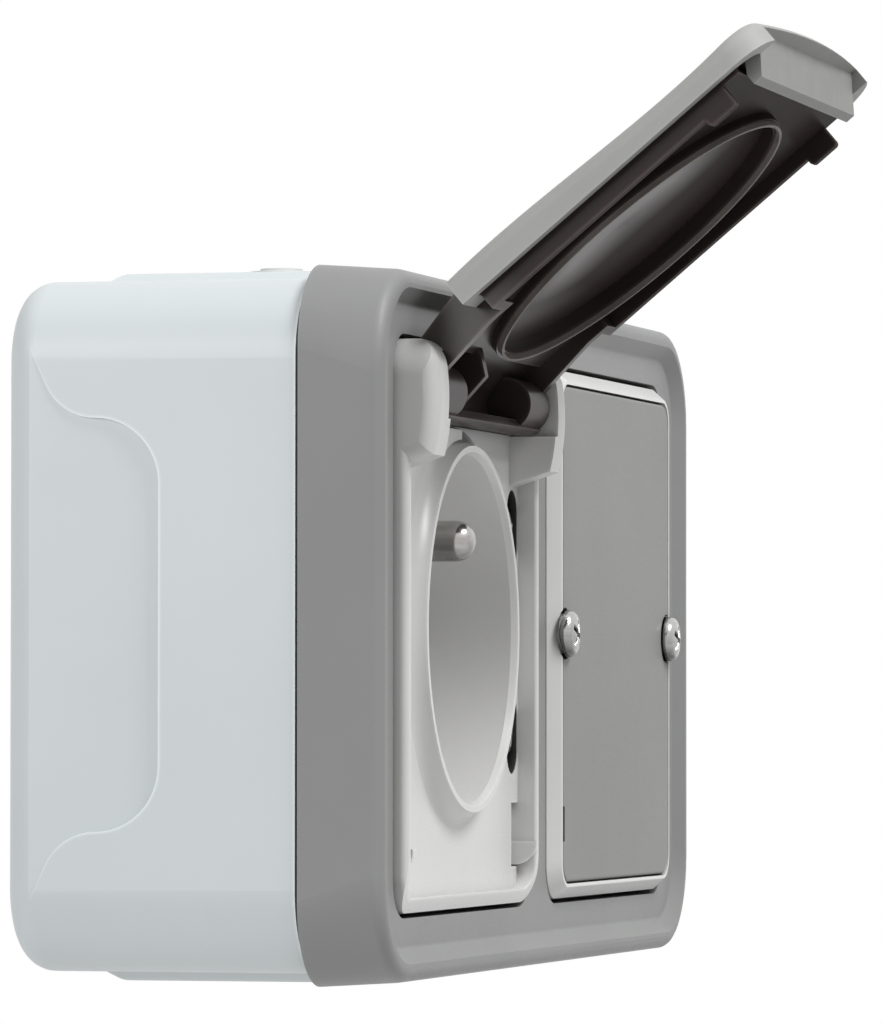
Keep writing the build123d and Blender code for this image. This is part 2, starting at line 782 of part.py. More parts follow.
def contact(hand, name):
    # slit sleeve for one plug pin, standing on its terminal block
    block = terminal_block((hand * (contact_pitch / 2 + terminal_shift), 0.0))
    sleeve_x = socket_x + hand * contact_pitch / 2
    with BuildPart() as piece:
        with BuildSketch(front(terminal_front, sleeve_x)):
            Circle(sleeve_r)
            Circle(sleeve_bore_r, mode=Mode.SUBTRACT)
            with Locations((0, sleeve_r)):
                Rectangle(sleeve_slit, 2 * sleeve_r, mode=Mode.SUBTRACT)
        extrude(amount=pocket_floor - shutter_fit - terminal_front)
        add(block)
    piece.part.label = name
    export_step(piece.part, f"parts/{name}.step")


contact(-1, "line_contact")
contact(1, "neutral_contact")

earth_terminal = terminal_block((0.0, earth_terminal_z))
earth_terminal.label = "earth_terminal"
export_step(earth_terminal, "parts/earth_terminal.step")

# Earth pin: round-nosed, shouldered on the well floor, its shank running back to the terminal
with BuildPart() as earth_pin:
    with BuildSketch(front(well_floor_depth, socket_x, pin_z)):
        Circle(earth_pin_r)
    extrude(amount=earth_pin_tip - well_floor_depth)
    fillet(earth_pin.faces().sort_by(Axis.Y)[0].edges(), earth_pin_nose)
    with BuildSketch(front(well_floor_depth, socket_x, pin_z)):
        Circle(earth_shank_r)
    extrude(amount=terminal_front - well_floor_depth)
earth_pin.part.label = "earth_pin"
export_step(earth_pin.part, "parts/earth_pin.step")

terminal_screws = pan_screw(base_rear, [(socket_x + tx, tz) for tx, tz in terminal_spots], terminal_head_r,
                            terminal_head_thick, terminal_long / 2 - wire_hole_r, facing=-1)
terminal_screws.label = "terminal_screws"
export_step(terminal_screws, "parts/terminal_screws.step")

# Safety shutter: a plate with a ramp under each contact hole, pushed up by its spring
with BuildPart() as shutter:
    with BuildSketch(front(pocket_floor + shutter_fit, socket_x)):
        Rectangle(shutter_width, shutter_height)
    extrude(amount=shutter_thick)
    chamfer(shutter.faces().sort_by(Axis.Y)[0].edges().sort_by(Axis.Z)[0], shutter_thick / 2)
shutter.part.label = "shutter"
export_step(shutter.part, "parts/shutter.step")

with BuildPart() as shutter_spring:
    coil_low = channel_bottom + spring_wire
    coil_high = -shutter_height / 2 - spring_wire
    with BuildLine() as coil:
        Helix((coil_high - coil_low) / spring_turns, coil_high - coil_low, spring_r,
              center=(socket_x, -(pocket_floor + pocket_depth / 2), coil_low))
    with BuildSketch(Plane(origin=coil.line @ 0, z_dir=coil.line % 0)):
        Circle(spring_wire / 2)
    sweep(is_frenet=True)
shutter_spring.part.label = "shutter_spring"
export_step(shutter_spring.part, "parts/shutter_spring.step")

# Blank module frame: bevelled border round a recess for the plate
plate_depth = land_depth + plate_rise
plate_back = plate_depth - plate_thick
plate_seat = plate_depth - plate_seat_sink
plate_notch_r = plate_head_r + plate_notch_gap
recess_width = module_width - 2 * bevel_width
recess_height = module_height - 2 * bevel_width
with BuildPart() as blank_frame:
    with BuildSketch(front(module_back, blank_x)):
        RectangleRounded(module_width, module_height, module_corner)
    extrude(amount=land_depth - module_back)
    with BuildSketch(front(land_depth, blank_x)):
        RectangleRounded(module_width, module_height, module_corner)
    with BuildSketch(front(border_depth, blank_x)):
        RectangleRounded(recess_width + 2 * plate_edge, recess_height + 2 * plate_edge, plate_corner)
    loft()
    with BuildSketch(front(plate_back, blank_x)):
        RectangleRounded(recess_width, recess_height, plate_corner - plate_edge)
        with Locations((-plate_screw_x, 0), (plate_screw_x, 0)):
            Circle(plate_head_r, mode=Mode.SUBTRACT)
    extrude(amount=plate_thick, mode=Mode.SUBTRACT)
    with BuildSketch(front(plate_seat, blank_x)):
        with Locations((-plate_screw_x, 0), (plate_screw_x, 0)):
            Circle(plate_notch_r)
    extrude(amount=plate_thick, mode=Mode.SUBTRACT)
    with BuildSketch(front(module_back, blank_x)):
        RectangleRounded(opening_width - 2 * window_wall, opening_height - 2 * window_wall, opening_corner)
    extrude(amount=plate_back - window_wall - module_back, mode=Mode.SUBTRACT)
    with BuildSketch(front(module_back, blank_x)):
        with Locations((-plate_screw_x, 0), (plate_screw_x, 0)):
            Circle(screw_r + screw_fit)
    extrude(amount=land_depth, mode=Mode.SUBTRACT)
blank_frame.part.label = "blank_frame"
export_step(blank_frame.part, "parts/blank_frame.step")

# Blanking plate with half-round screw notches and a pry notch
with BuildPart() as blank_plate:
    with BuildSketch(front(plate_back, blank_x)):
        RectangleRounded(recess_width - 2 * plate_edge_gap, recess_height - 2 * plate_edge_gap,
                         plate_corner - plate_edge)
    extrude(amount=plate_thick)
    fillet(blank_plate.faces().sort_by(Axis.Y)[0].edges(), plate_edge)
    with BuildSketch(front(plate_back, blank_x)):
        with Locations((-plate_screw_x, 0), (plate_screw_x, 0)):
            Circle(plate_notch_r)
        with Locations((-recess_width / 2, pry_z)):
            Rectangle(2 * pry_sink, pry_height)
    extrude(amount=plate_thick, mode=Mode.SUBTRACT)
blank_plate.part.label = "blank_plate"
export_step(blank_plate.part, "parts/blank_plate.step")

blank_plate_screws = pan_screw(plate_seat, blank_posts, plate_head_r, plate_head_thick,
                               plate_seat - post_depth + screw_bite, crown=plate_head_round)
blank_plate_screws.label = "blank_plate_screws"
export_step(blank_plate_screws, "parts/blank_plate_screws.step")

# Lid: u runs from the hinge axis to the free end and n out of the lid's face; it stands open
lid_tilt = radians(lid_open - 90)
lid_origin = Vector(socket_x, -hinge_depth, hinge_z)
lid_u = Vector(0, -cos(lid_tilt), sin(lid_tilt))
lid_n = Vector(0, sin(lid_tilt), cos(lid_tilt))
lid_side = Plane(origin=lid_origin, x_dir=lid_u, z_dir=(-1, 0, 0))


def lid_level(n):
    # plane parallel to the lid's face: local y is u
    return Plane(origin=lid_origin + lid_n * n, x_dir=(-1, 0, 0), z_dir=lid_n)


well_u = hinge_z
bow_u = lid_end + lid_end_bow
with BuildPart() as lid_shell:
    with BuildSketch(lid_level(lid_flank_n)) as outline:
        with BuildLine():
            Polyline(
                (-lid_half_width, lid_end),
                (-lid_half_width, lid_start),
                (lid_half_width, lid_start),
                (lid_half_width, lid_end),
            )
            ThreePointArc((lid_half_width, lid_end), (0, bow_u), (-lid_half_width, lid_end))
        make_face()
        fillet(outline.vertices().group_by(Axis.Y)[-1], lid_end_corner)
    extrude(amount=lid_end_n - lid_flank_n)
    # the outside swells, draws in to a waist and flares again towards the free end
    with BuildSketch(lid_side):
        with BuildLine():
            back_u = lid_start - lid_skin
            tip_u = bow_u + lid_skin
            Spline((back_u, lid_start_n), (lid_swell_u, lid_swell_n), (lid_end - lid_waist_inset, lid_waist_n),
                   (tip_u, lid_end_n))
            Polyline((tip_u, lid_end_n), (tip_u, 2 * lid_end_n), (back_u, 2 * lid_end_n), (back_u, lid_start_n))
        make_face()
    extrude(amount=2 * lid_half_width, both=True, mode=Mode.SUBTRACT)
    skin = lid_shell.faces().sort_by(lambda f: f.center().dot(lid_n))[-1]
    fillet([e for e in skin.edges() if (e.center() - lid_origin).dot(lid_u) > lid_start + same_place], lid_edge)
    with BuildSketch(lid_level(lid_flank_n)) as hollow:
        with Locations((0, lid_start + lid_skin)):
            Rectangle(2 * (lid_half_width - lid_skin), lid_end - lid_start - 2 * lid_skin,
                      align=(Align.CENTER, Align.MIN))
        fillet(hollow.vertices().group_by(Axis.Y)[-1], lid_end_corner - lid_skin)
    extrude(amount=lid_inner_n - lid_flank_n, mode=Mode.SUBTRACT)
    # gap in the hinge-side wall for the arms of the liner
    with BuildSketch(lid_side):
        with Locations((lid_start + lid_skin / 2, lid_flank_n)):
            Rectangle(2 * lid_skin, lid_inner_n - lid_flank_n, align=(Align.CENTER, Align.MIN))
    extrude(amount=arm_half_width + liner_fit, both=True, mode=Mode.SUBTRACT)
    # finger pull: the skin overhangs a sloped end panel
    with BuildSketch(lid_side):
        with Locations((lid_end, lid_flank_n)):
            Rectangle(2 * pull_cut, pull_top_n - lid_flank_n, align=(Align.CENTER, Align.MIN))
    extrude(amount=pull_half_width, both=True, mode=Mode.SUBTRACT)
    with BuildSketch(lid_side):
        with BuildLine():
            pull_top_u = lid_end - pull_top_inset
            Polyline(
                (pull_top_u, pull_top_n),
                (pull_lip_u, pull_lip_n),
                (pull_lip_u - pull_thick, pull_lip_n),
                (pull_lip_u - pull_thick, pull_lip_n + pull_thick),
                (pull_top_u - 2 * pull_thick, pull_top_n),
                close=True,
            )
        make_face()
    extrude(amount=pull_half_width, both=True)
lid_shell.part.label = "lid_shell"
export_step(lid_shell.part, "parts/lid_shell.step")

# Lid liner: inner frame with skirts, latch tabs and dished sealing ring, and the open hinge barrel
liner_half = lid_half_width - lid_skin - liner_fit
liner_from = lid_start + lid_skin + liner_fit
liner_end = pull_lip_u - pull_thick - liner_fit
liner_top = liner_plate_n + liner_plate
skirt_mid = liner_half - skirt_wall / 2
dish_top = lid_inner_n - liner_fit
ring_axis = Axis(lid_origin + lid_u * well_u, lid_n)
arm_u = lid_start - liner_fit
arm_n = lid_start_n - liner_fit
curl_in = curl_r - curl_skin
barrel_r = curl_r - curl_skin / 2
with BuildPart() as lid_liner:
    with BuildSketch(lid_level(liner_plate_n)):
        with Locations((0, liner_from)):
            Rectangle(2 * liner_half, liner_end - liner_from, align=(Align.CENTER, Align.MIN))
        with Locations((0, liner_start)):
            Rectangle(2 * arm_half_width, liner_from - liner_start, align=(Align.CENTER, Align.MIN))
        with Locations((0, well_u)):
            Circle(ring_r, mode=Mode.SUBTRACT)
    extrude(amount=liner_plate)
    with BuildSketch(lid_level(skirt_n)):
        for hand in (-1, 1):
            with Locations((hand * skirt_mid, liner_from)):
                Rectangle(skirt_wall, skirt_end - liner_from, align=(Align.CENTER, Align.MIN))
            with Locations((hand * (liner_half + arm_half_width - arm_wall) / 2, liner_from)):
                Rectangle(liner_half - arm_half_width + arm_wall, skirt_wall, align=(Align.CENTER, Align.MIN))
    extrude(amount=dish_top - skirt_n)
    for hand in (-1, 1):
        with BuildSketch(lid_side.offset(hand * (liner_half - skirt_wall))):
            with Locations((skirt_end - tab_long / 2, skirt_n)):
                RectangleRounded(tab_long, 2 * tab_drop, tab_round)
        extrude(amount=hand * skirt_wall)
    # sealing ring round a shallow dish
    with BuildSketch(lid_side):
        with BuildLine():
            Polyline(
                (well_u, dish_top - dish_skin),
                (well_u, dish_top),
                (well_u + ring_r + ring_wall, dish_top),
                (well_u + ring_r + ring_wall, ring_n),
                (well_u + ring_r, ring_n),
                (well_u + ring_r, dish_edge_n),
            )
            RadiusArc((well_u + ring_r, dish_edge_n), (well_u, dish_top - dish_skin), dish_radius)
        make_face()
    revolve(axis=ring_axis)
    # arms' skin, curled round the hinge barrel and open towards the lid's inside
    with BuildSketch(lid_side):
        with BuildLine():
            end_ray = (cos(radians(90 + curl_angle)), sin(radians(90 + curl_angle)))
            Line((arm_u, arm_n), (0, curl_r))
            CenterArc((0, 0), curl_r, 90, curl_angle)
            Line((curl_r * end_ray[0], curl_r * end_ray[1]), (curl_in * end_ray[0], curl_in * end_ray[1]))
            CenterArc((0, 0), curl_in, 90, curl_angle)
            Line((0, curl_in), (arm_u, arm_n - curl_skin))
            Line((arm_u, arm_n - curl_skin), (arm_u, arm_n))
        make_face()
    extrude(amount=arm_half_width, both=True)
    # gusset in the barrel
    with BuildSketch(lid_side.offset(gusset_x)):
        with BuildLine():
            Polyline(
                (liner_start + liner_plate, liner_top),
                (liner_start + liner_plate, liner_plate_n),
                (gusset_reach, -gusset_drop),
                (gusset_foot_u, -gusset_foot_drop),
                (-curl_in, -gusset_foot_drop),
                (-barrel_r, 0),
                (0, barrel_r),
                close=True,
            )
        make_face()
    extrude(amount=gusset_wall / 2, both=True)
    # cheeks of the barrel, with the pivots moulded on them
    for hand in (-1, 1):
        with BuildSketch(lid_side.offset(hand * (arm_half_width - arm_wall))):
            with BuildLine():
                Polyline(
                    (0, barrel_r),
                    (arm_u, arm_n - curl_skin / 2),
                    (arm_u, dish_top),
                    (liner_from + skirt_wall, dish_top),
                    (liner_from + skirt_wall, skirt_n),
                    (liner_from - lid_skin, skirt_n),
                    (barrel_r, cheek_toe_n),
                    (0, -barrel_r),
                    close=True,
                )
            make_face()
        extrude(amount=hand * arm_wall)
        with BuildSketch(lid_side.offset(hand * (arm_half_width - knuckle_long))):
            Circle(knuckle_r)
        extrude(amount=hand * knuckle_long)
        with BuildSketch(lid_side.offset(hand * arm_half_width)):
            Circle(pivot_r)
        extrude(amount=hand * (arm_gap + pivot_reach))
lid_liner.part.label = "lid_liner"
export_step(lid_liner.part, "parts/lid_liner.step")

# Seal on the ring, which closes on the collar of the well
with BuildPart() as lid_seal:
    with BuildSketch(lid_level(ring_n)):
        with Locations((0, well_u)):
            Circle(ring_r + ring_wall - seal_inset)
            Circle(ring_r + seal_inset, mode=Mode.SUBTRACT)
    extrude(amount=-seal_thick)
lid_seal.part.label = "lid_seal"
export_step(lid_seal.part, "parts/lid_seal.step")
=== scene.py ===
import json
from math import cos, radians, sin

import bpy
import numpy as np
from mathutils import Matrix, Vector


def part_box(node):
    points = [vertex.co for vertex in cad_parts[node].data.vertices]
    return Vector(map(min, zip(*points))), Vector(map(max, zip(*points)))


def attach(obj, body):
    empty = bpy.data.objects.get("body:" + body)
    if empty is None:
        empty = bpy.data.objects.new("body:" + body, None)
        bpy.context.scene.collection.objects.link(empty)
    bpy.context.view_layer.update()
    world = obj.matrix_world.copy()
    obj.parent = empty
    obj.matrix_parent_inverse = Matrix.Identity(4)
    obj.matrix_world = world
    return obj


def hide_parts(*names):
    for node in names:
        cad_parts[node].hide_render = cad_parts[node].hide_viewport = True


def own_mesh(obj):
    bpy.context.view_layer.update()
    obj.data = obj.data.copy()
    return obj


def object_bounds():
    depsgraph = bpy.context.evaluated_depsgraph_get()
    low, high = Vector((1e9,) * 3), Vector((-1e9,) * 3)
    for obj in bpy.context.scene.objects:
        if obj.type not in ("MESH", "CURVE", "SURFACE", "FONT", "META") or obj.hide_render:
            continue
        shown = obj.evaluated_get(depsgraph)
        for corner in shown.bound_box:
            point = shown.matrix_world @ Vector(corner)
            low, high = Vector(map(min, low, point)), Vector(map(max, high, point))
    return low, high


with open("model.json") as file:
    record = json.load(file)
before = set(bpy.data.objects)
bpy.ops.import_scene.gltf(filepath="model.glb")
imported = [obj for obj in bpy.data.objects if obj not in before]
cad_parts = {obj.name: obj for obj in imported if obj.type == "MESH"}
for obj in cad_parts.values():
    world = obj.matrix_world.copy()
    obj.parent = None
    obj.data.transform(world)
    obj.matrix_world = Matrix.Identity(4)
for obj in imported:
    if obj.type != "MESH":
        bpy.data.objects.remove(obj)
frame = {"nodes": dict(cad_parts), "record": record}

cadLow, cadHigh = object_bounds()
scene = bpy.context.scene
scene.view_settings.view_transform = "Standard"
mm = 0.001
print("frame loaded:", len(frame["nodes"]), "nodes")

# camera at the photograph's place: yaw from +Y towards +X, pitch above the horizon
cameraSetup = {
    "spot": (-824.6, -249.7, -11.35),
    "yaw": 75.137,
    "pitch": 1.7586,
    "roll": 0.04,
    "focalPixels": 6964.9,
    "longSidePixels": 1024,
    "sensor": 36.0,
    "clip": (0.01, 20.0),
}


def placeCamera(setup):
    yaw, pitch = radians(setup["yaw"]), radians(setup["pitch"])
    ahead = Vector((sin(yaw) * cos(pitch), cos(yaw) * cos(pitch), sin(pitch)))
    turn = ahead.to_track_quat("-Z", "Y").to_matrix()
    roll = Matrix.Rotation(radians(setup["roll"]), 3, "Z")
    data = bpy.data.cameras.new("photoCamera")
    data.sensor_width = setup["sensor"]
    data.lens = setup["focalPixels"] / setup["longSidePixels"] * setup["sensor"]
    data.clip_start, data.clip_end = setup["clip"]
    camera = bpy.data.objects.new("photoCamera", data)
    camera.matrix_world = Matrix.Translation(Vector(setup["spot"]) * mm) @ (turn @ roll).to_4x4()
    scene.collection.objects.link(camera)
    scene.camera = camera


placeCamera(cameraSetup)
print("camera placed")

white = (1, 1, 1, 1)
black = (0, 0, 0, 1)
colourSockets = ("Deep", "Pale", "Colour")


# shader helpers: a node with its settings, a socket fed by a link or a fixed value, a node group with
# named sockets, and the few nodes that the finishes repeat
def addNode(tree, kind, **values):
    node = tree.nodes.new(kind)
    for key, value in values.items():
        setattr(node, key, value)
    return node


def feed(tree, socket, value):
    if isinstance(value, (int, float, tuple)):
        socket.default_value = value
    else:
        tree.links.new(value, socket)


def newGroup(name, inputs, outputs):
    tree = bpy.data.node_groups.new(name, "ShaderNodeTree")
    for side, labels in (("INPUT", inputs), ("OUTPUT", outputs)):
        for label in labels:
            kind = "NodeSocketColor" if label in colourSockets else "NodeSocketFloat"
            tree.interface.new_socket(label, in_out=side, socket_type=kind)
    return tree, addNode(tree, "NodeGroupInput").outputs, addNode(tree, "NodeGroupOutput").inputs


def addMath(tree, operation, first, second):
    node = addNode(tree, "ShaderNodeMath", operation=operation, use_clamp=True)
    feed(tree, node.inputs[0], first)
    feed(tree, node.inputs[1], second)
    return node.outputs[0]


def addMix(tree, factor, first, second):
    node = addNode(tree, "ShaderNodeMix", data_type="RGBA")
    for place, value in (("Factor", factor), (6, first), (7, second)):
        feed(tree, node.inputs[place], value)
    return node.outputs[2]


def addNoise(tree, place, scale, detail):
    node = addNode(tree, "ShaderNodeTexNoise")
    feed(tree, node.inputs["Vector"], place)
    feed(tree, node.inputs["Scale"], scale)
    feed(tree, node.inputs["Detail"], detail)
    return node.outputs["Fac"]


def addStretch(tree, place, scale, turn):
    node = addNode(tree, "ShaderNodeMapping")
    feed(tree, node.inputs["Vector"], place)
    feed(tree, node.inputs["Scale"], scale)
    feed(tree, node.inputs["Rotation"], turn)
    return node.outputs["Vector"]


def addRange(tree, value, span, toLow, toHigh):
    node = addNode(tree, "ShaderNodeMapRange")
    labels = ("Value", "From Min", "From Max", "To Min", "To Max")
    for label, given in zip(labels, (value, *span, toLow, toHigh)):
        feed(tree, node.inputs[label], given)
    return node.outputs["Result"]


def objectPlace(tree):
    return addNode(tree, "ShaderNodeTexCoord").outputs["Object"]


# moulded plastic and rubber: slow clouds mix two tones, a fine grain gives roughness and height, and
# thin stretched streaks are handling scuffs that are duller than the rest
mouldedSkin = {
    "cloudDetail": 4.0,
    "cloudSpan": (0.3, 0.7),
    "grainDetail": 2.0,
    "grainSpan": (0.25, 0.75),
    "scuffStretch": (1.0, 0.16, 0.05),
    "scuffTurn": (0.5, 0.3, 0.2),
    "scuffScale": 900.0,
    "scuffDetail": 3.0,
    "scuffSpan": (0.66, 0.76),
}


def makeMouldedSkin(values):
    tree, given, result = newGroup(
        "mouldedSkin",
        ("Deep", "Pale", "Cloud Scale", "Grain Scale", "Rough Low", "Rough High", "Scuff"),
        ("Colour", "Roughness", "Height"),
    )
    link = tree.links.new
    place = objectPlace(tree)
    cloud = addNoise(tree, place, given["Cloud Scale"], values["cloudDetail"])
    grain = addNoise(tree, place, given["Grain Scale"], values["grainDetail"])
    along = addStretch(tree, place, values["scuffStretch"], values["scuffTurn"])
    streak = addNoise(tree, along, values["scuffScale"], values["scuffDetail"])
    scuff = addMath(tree, "MULTIPLY", addRange(tree, streak, values["scuffSpan"], 0.0, 1.0), given["Scuff"])
    even = addRange(tree, cloud, values["cloudSpan"], 0.0, 1.0)
    rough = addRange(tree, grain, values["grainSpan"], given["Rough Low"], given["Rough High"])
    link(addMix(tree, even, given["Deep"], given["Pale"]), result["Colour"])
    link(addMath(tree, "ADD", rough, scuff), result["Roughness"])
    link(grain, result["Height"])
    return tree


# plated metal: long fine scratches drawn out along the pin's or screw's axis, duller patches, and painted
# shade that grows as the surface turns to face down
platedSkin = {
    "scratchStretch": (1.0, 0.12, 1.0),
    "scratchDetail": 5.0,
    "scratchSpan": (0.25, 0.7),
    "patchDetail": 3.0,
    "patchSpan": (0.3, 0.6),
    "patchLeast": 0.35,
    "roughSpan": (0.3, 0.7),
    "underSpan": (-0.7, 0.35),
}


def makePlatedSkin(values):
    tree, given, result = newGroup(
        "platedSkin",
        ("Deep", "Pale", "Cloud Scale", "Grain Scale", "Rough Low", "Rough High", "Under"),
        ("Colour", "Roughness", "Height", "Underside Shade"),
    )
    link = tree.links.new
    place = objectPlace(tree)
    along = addStretch(tree, place, values["scratchStretch"], (0, 0, 0))
    scratch = addNoise(tree, along, given["Grain Scale"], values["scratchDetail"])
    patch = addNoise(tree, place, given["Cloud Scale"], values["patchDetail"])
    tone = addMath(tree, "MULTIPLY", addRange(tree, scratch, values["scratchSpan"], 0.0, 1.0),
                   addRange(tree, patch, values["patchSpan"], values["patchLeast"], 1.0))
    rough = addRange(tree, patch, values["roughSpan"], given["Rough High"], given["Rough Low"])
    facing = addNode(tree, "ShaderNodeSeparateXYZ")
    link(addNode(tree, "ShaderNodeNewGeometry").outputs["Normal"], facing.inputs[0])
    link(addMix(tree, tone, given["Deep"], given["Pale"]), result["Colour"])
    link(rough, result["Roughness"])
    link(scratch, result["Height"])
    # painted shade: darker as the surface turns to face down
    link(addRange(tree, facing.outputs["Z"], values["underSpan"], given["Under"], 0.0), result["Underside Shade"])
    return tree


# painted light: corners that open space hardly reaches are darkened as painted shade, and edges that are thin
# seen from inside the plastic are lightened as a painted highlight; the plated skin's painted underside shade
# joins the darkening
paintedLightReach = {
    "samples": 6,
    "corner": 2.2 * mm,
    "cornerSpan": (0.15, 0.85),
    "edge": 0.45 * mm,
    "edgeSpan": (0.45, 0.92),
}


def makePaintedLight(values):
    tree, given, result = newGroup("paintedLight", ("Colour", "Corner Shade", "Underside Shade", "Edge Highlight", "Paler"), ("Colour",))
    corner = addNode(tree, "ShaderNodeAmbientOcclusion", samples=values["samples"])
    corner.inputs["Distance"].default_value = values["corner"]
    rim = addNode(tree, "ShaderNodeAmbientOcclusion", samples=values["samples"], inside=True, only_local=True)
    rim.inputs["Distance"].default_value = values["edge"]
    # painted shade: the less open space reaches a corner, the darker it turns
    cornerShade = addRange(tree, corner.outputs["AO"], values["cornerSpan"], given["Corner Shade"], 0.0)
    # painted highlight: edges that are thin seen from inside the plastic turn paler
    edgeHighlight = addRange(tree, rim.outputs["AO"], values["edgeSpan"], given["Edge Highlight"], 0.0)
    pale = addNode(tree, "ShaderNodeVectorMath", operation="SCALE")
    tree.links.new(given["Colour"], pale.inputs[0])
    tree.links.new(given["Paler"], pale.inputs["Scale"])
    highlighted = addMix(tree, edgeHighlight, given["Colour"], pale.outputs[0])
    dark = addMath(tree, "MAXIMUM", cornerShade, given["Underside Shade"])
    tree.links.new(addMix(tree, dark, highlighted, black), result["Colour"])
    return tree


skinGroups = {"moulded": makeMouldedSkin(mouldedSkin), "plated": makePlatedSkin(platedSkin)}
paintedLightGroup = makePaintedLight(paintedLightReach)

# every finish of the object: tones are linear and scales in features a metre; the corner, under and edge
# shares are the painted shade in corners, the painted shade on undersides and the painted highlight by which
# edges turn Paler times as bright
finishes = {
    "box_plastic": {"skin": "moulded", "Deep": (0.615, 0.660, 0.672), "Pale": (0.650, 0.695, 0.706),
                    "Cloud Scale": 26.0, "Grain Scale": 5200.0, "Rough Low": 0.30, "Rough High": 0.42,
                    "Scuff": 0.06, "bump": 0.05, "specular": 0.45, "Corner Shade": 0.10, "Edge Highlight": 0.90},
    "cover_plastic": {"skin": "moulded", "Deep": (0.250, 0.255, 0.251), "Pale": (0.276, 0.281, 0.276),
                      "Cloud Scale": 34.0, "Grain Scale": 4200.0, "Rough Low": 0.40, "Rough High": 0.54,
                      "Scuff": 0.04, "bump": 0.12, "specular": 0.30, "Corner Shade": 0.25, "Edge Highlight": 0.15},
    "module_plastic": {"skin": "moulded", "Deep": (0.675, 0.673, 0.665), "Pale": (0.725, 0.723, 0.714),
                       "Cloud Scale": 40.0, "Grain Scale": 5600.0, "Rough Low": 0.26, "Rough High": 0.36,
                       "Scuff": 0.08, "bump": 0.04, "specular": 0.5, "Corner Shade": 0.30, "Edge Highlight": 0.45},
    "plate_plastic": {"skin": "moulded", "Deep": (0.252, 0.257, 0.246), "Pale": (0.277, 0.281, 0.267),
                      "Cloud Scale": 32.0, "Grain Scale": 4200.0, "Rough Low": 0.42, "Rough High": 0.56,
                      "Scuff": 0.03, "bump": 0.12, "specular": 0.22, "Corner Shade": 0.35, "Edge Highlight": 0.15},
    "lid_plastic": {"skin": "moulded", "Deep": (0.385, 0.389, 0.375), "Pale": (0.420, 0.424, 0.409),
                    "Cloud Scale": 38.0, "Grain Scale": 4200.0, "Rough Low": 0.46, "Rough High": 0.60,
                    "Scuff": 0.04, "bump": 0.12, "specular": 0.18, "Corner Shade": 0.30, "Edge Highlight": 0.20},
    "liner_plastic": {"skin": "moulded", "Deep": (0.0255, 0.0190, 0.0175), "Pale": (0.0375, 0.0280, 0.0260),
                      "Cloud Scale": 60.0, "Grain Scale": 6000.0, "Rough Low": 0.42, "Rough High": 0.58,
                      "Scuff": 0.10, "bump": 0.06, "specular": 0.0, "Corner Shade": 0.20, "Edge Highlight": 0.8,
                      "Paler": 3.6},
    "base_plastic": {"skin": "moulded", "Deep": (0.600, 0.600, 0.585), "Pale": (0.660, 0.660, 0.640),
                     "Cloud Scale": 60.0, "Grain Scale": 5000.0, "Rough Low": 0.40, "Rough High": 0.52,
                     "Scuff": 0.05, "bump": 0.05, "specular": 0.45, "Corner Shade": 0.20, "Edge Highlight": 0.10},
    "membrane_rubber": {"skin": "moulded", "Deep": (0.600, 0.612, 0.610), "Pale": (0.670, 0.680, 0.676),
                        "Cloud Scale": 90.0, "Grain Scale": 3000.0, "Rough Low": 0.55, "Rough High": 0.72,
                        "Scuff": 0.05, "bump": 0.12, "specular": 0.35, "Corner Shade": 0.30, "Edge Highlight": 0.05},
    "dark_rubber": {"skin": "moulded", "Deep": (0.014, 0.014, 0.014), "Pale": (0.026, 0.026, 0.026),
                    "Cloud Scale": 120.0, "Grain Scale": 3000.0, "Rough Low": 0.60, "Rough High": 0.80,
                    "Scuff": 0.05, "bump": 0.10, "specular": 0.2, "Corner Shade": 0.20, "Edge Highlight": 0.05},
    "seal_rubber": {"skin": "moulded", "Deep": (0.020, 0.018, 0.017), "Pale": (0.032, 0.029, 0.027),
                    "Cloud Scale": 120.0, "Grain Scale": 3000.0, "Rough Low": 0.45, "Rough High": 0.60,
                    "Scuff": 0.05, "bump": 0.08, "specular": 0.1, "Corner Shade": 0.10, "Edge Highlight": 1.0, "Paler": 9.0},
    "zinc_steel": {"skin": "plated", "Deep": (0.440, 0.438, 0.432), "Pale": (0.640, 0.637, 0.630),
                   "Cloud Scale": 420.0, "Grain Scale": 1600.0, "Rough Low": 0.10, "Rough High": 0.20,
                   "bump": 0.05, "Corner Shade": 0.85, "Edge Highlight": 0.20, "Under": 0.80},
    "nickel": {"skin": "plated", "Deep": (0.420, 0.406, 0.388), "Pale": (0.640, 0.622, 0.598),
               "Cloud Scale": 260.0, "Grain Scale": 1100.0, "Rough Low": 0.16, "Rough High": 0.28,
               "bump": 0.06, "Corner Shade": 0.70, "Edge Highlight": 0.10, "Under": 0.60},
    "contact_brass": {"skin": "plated", "Deep": (0.480, 0.330, 0.120), "Pale": (0.760, 0.580, 0.260),
                      "Cloud Scale": 260.0, "Grain Scale": 1000.0, "Rough Low": 0.25, "Rough High": 0.42,
                      "bump": 0.06, "Corner Shade": 0.40, "Edge Highlight": 0.10, "Under": 0.3},
    "spring_steel": {"skin": "plated", "Deep": (0.300, 0.300, 0.305), "Pale": (0.560, 0.560, 0.565),
                     "Cloud Scale": 600.0, "Grain Scale": 2200.0, "Rough Low": 0.25, "Rough High": 0.42,
                     "bump": 0.06, "Corner Shade": 0.30, "Edge Highlight": 0.10, "Under": 0.3},
}
finishShared = {
    "Paler": 1.45,
    "bumpDistance": 0.02 * mm,
}


